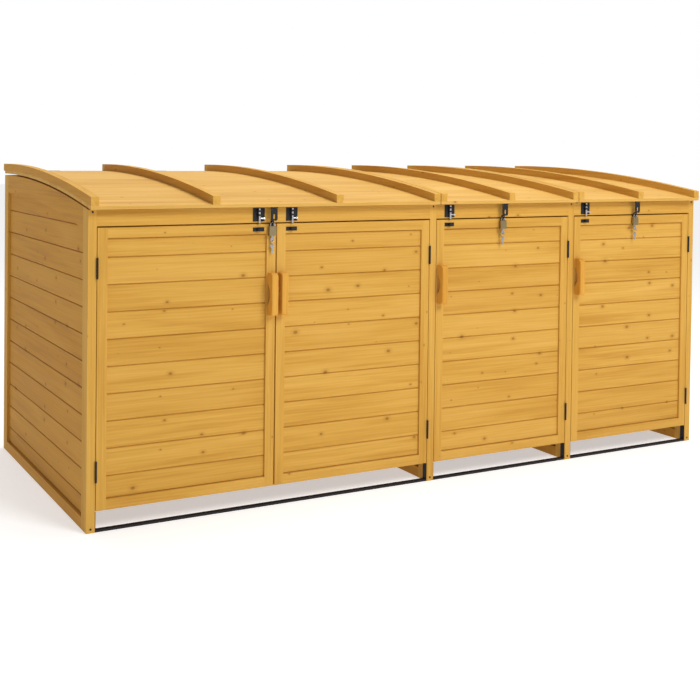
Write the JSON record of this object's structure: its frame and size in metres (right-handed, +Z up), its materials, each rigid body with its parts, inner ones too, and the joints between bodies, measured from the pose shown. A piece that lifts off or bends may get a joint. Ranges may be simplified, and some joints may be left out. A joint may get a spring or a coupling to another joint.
{
  "type": "recycling bin station",
  "caption": "Stained timber store for wheeled recycling bins, with hinged arched lids, hinged doors, barrel bolts and padlocked hasps.",
  "frame": {"origin": "on the ground, under the middle of the outer box", "axes": "+X to the right along the front, -Y is the front with the doors, +Z up"},
  "size_m": [3.16, 1.315, 1.358],
  "materials": {
    "stained_timber": "honey stained softwood",
    "roof_timber": "honey stained softwood",
    "handle_timber": "sanded and stained softwood",
    "black_iron": "black powder coat",
    "black_steel": "satin black",
    "zinc_rod": "zinc plated",
    "bright_steel": "polished steel",
    "padlock_brass": "brushed brass"
  },
  "bodies": {
    "frame": {"left_side_frame": "stained_timber", "left_side_boards": "stained_timber", "partition_1_frame": "stained_timber", "partition_1_boards": "stained_timber", "partition_2_frame": "stained_timber", "partition_2_boards": "stained_timber", "right_side_frame": "stained_timber", "right_side_boards": "stained_timber", "headers": "stained_timber", "rear_rails": "stained_timber", "rear_boards": "stained_timber", "sill_double_bay": "black_steel", "sill_bay_3": "black_steel", "sill_bay_4": "black_steel", "bolt_plates": "black_iron", "door_hinge_post_leaves": "black_iron", "lid_hinge_rear_leaves": "black_iron", "frame_screws": "black_iron"},
    "lid_double": {"lid_double_boards": "roof_timber", "lid_double_battens": "roof_timber", "lid_double_ironwork": "black_iron"},
    "lid_bay_3": {"lid_bay_3_boards": "roof_timber", "lid_bay_3_battens": "roof_timber", "lid_bay_3_ironwork": "black_iron"},
    "lid_bay_4": {"lid_bay_4_boards": "roof_timber", "lid_bay_4_battens": "roof_timber", "lid_bay_4_ironwork": "black_iron"},
    "door_1": {"door_1_frame": "stained_timber", "door_1_boards": "stained_timber", "door_1_handle": "handle_timber", "door_1_ironwork": "black_iron"},
    "door_2": {"door_2_frame": "stained_timber", "door_2_boards": "stained_timber", "door_2_handle": "handle_timber", "door_2_ironwork": "black_iron"},
    "door_3": {"door_3_frame": "stained_timber", "door_3_boards": "stained_timber", "door_3_handle": "handle_timber", "door_3_ironwork": "black_iron"},
    "door_4": {"door_4_frame": "stained_timber", "door_4_boards": "stained_timber", "door_4_handle": "handle_timber", "door_4_ironwork": "black_iron"},
    "bolt_1": {"bolt_rod_1": "zinc_rod"},
    "bolt_2": {"bolt_rod_2": "zinc_rod"},
    "bolt_3": {"bolt_rod_3": "zinc_rod"},
    "bolt_4": {"bolt_rod_4": "zinc_rod"},
    "hasp_1": {"hasp_strap_1": "black_iron"},
    "hasp_2": {"hasp_strap_2": "black_iron"},
    "hasp_3": {"hasp_strap_3": "black_iron"},
    "padlock_1": {"padlock_1_body": "padlock_brass", "padlock_1_shackle": "bright_steel", "padlock_1_keys": "bright_steel"},
    "padlock_2": {"padlock_2_body": "padlock_brass", "padlock_2_shackle": "bright_steel", "padlock_2_keys": "bright_steel"},
    "padlock_3": {"padlock_3_body": "padlock_brass", "padlock_3_shackle": "bright_steel", "padlock_3_keys": "bright_steel"}
  },
  "joints": [
    {"name": "lid_double_hinge", "type": "hinge", "parent": "frame", "child": "lid_double", "pos_m": [-0.814, 0.6369, 1.30865], "axis": [-1, 0, 0], "range_deg": [0, 80]},
    {"name": "lid_bay_3_hinge", "type": "hinge", "parent": "frame", "child": "lid_bay_3", "pos_m": [0.36, 0.6369, 1.30865], "axis": [-1, 0, 0], "range_deg": [0, 80]},
    {"name": "lid_bay_4_hinge", "type": "hinge", "parent": "frame", "child": "lid_bay_4", "pos_m": [1.171, 0.6369, 1.30865], "axis": [-1, 0, 0], "range_deg": [0, 80]},
    {"name": "door_1_hinge", "type": "hinge", "parent": "frame", "child": "door_1", "pos_m": [-1.5445, -0.622, 0.6], "axis": [0, 0, -1], "range_deg": [0, 100]},
    {"name": "door_2_hinge", "type": "hinge", "parent": "frame", "child": "door_2", "pos_m": [-0.0355, -0.622, 0.6], "axis": [0, 0, 1], "range_deg": [0, 100]},
    {"name": "door_3_hinge", "type": "hinge", "parent": "frame", "child": "door_3", "pos_m": [0.7545, -0.622, 0.6], "axis": [0, 0, 1], "range_deg": [0, 100]},
    {"name": "door_4_hinge", "type": "hinge", "parent": "frame", "child": "door_4", "pos_m": [1.5445, -0.622, 0.6], "axis": [0, 0, 1], "range_deg": [0, 100]},
    {"name": "bolt_1_slide", "type": "slide", "parent": "frame", "child": "bolt_1", "axis": [0, 0, -1], "range_m": [0, 0.022]},
    {"name": "bolt_2_slide", "type": "slide", "parent": "frame", "child": "bolt_2", "axis": [0, 0, -1], "range_m": [0, 0.022]},
    {"name": "bolt_3_slide", "type": "slide", "parent": "frame", "child": "bolt_3", "axis": [0, 0, -1], "range_m": [0, 0.022]},
    {"name": "bolt_4_slide", "type": "slide", "parent": "frame", "child": "bolt_4", "axis": [0, 0, -1], "range_m": [0, 0.022]},
    {"name": "hasp_1_hinge", "type": "hinge", "parent": "lid_double", "child": "hasp_1", "pos_m": [-0.814, -0.6415, 1.20195], "axis": [-1, 0, 0], "range_deg": [0, 80]},
    {"name": "hasp_2_hinge", "type": "hinge", "parent": "lid_bay_3", "child": "hasp_2", "pos_m": [0.36, -0.6415, 1.20195], "axis": [-1, 0, 0], "range_deg": [0, 80]},
    {"name": "hasp_3_hinge", "type": "hinge", "parent": "lid_bay_4", "child": "hasp_3", "pos_m": [1.171, -0.6415, 1.20195], "axis": [-1, 0, 0], "range_deg": [0, 80]},
    {"name": "padlock_1_swing", "type": "hinge", "parent": "door_1", "child": "padlock_1", "pos_m": [-0.814, -0.6275, 1.143], "axis": [-1, 0, 0], "range_deg": [0, 60]},
    {"name": "padlock_2_swing", "type": "hinge", "parent": "door_3", "child": "padlock_2", "pos_m": [0.36, -0.6275, 1.143], "axis": [-1, 0, 0], "range_deg": [0, 60]},
    {"name": "padlock_3_swing", "type": "hinge", "parent": "door_4", "child": "padlock_3", "pos_m": [1.171, -0.6275, 1.143], "axis": [-1, 0, 0], "range_deg": [0, 60]}
  ]
}
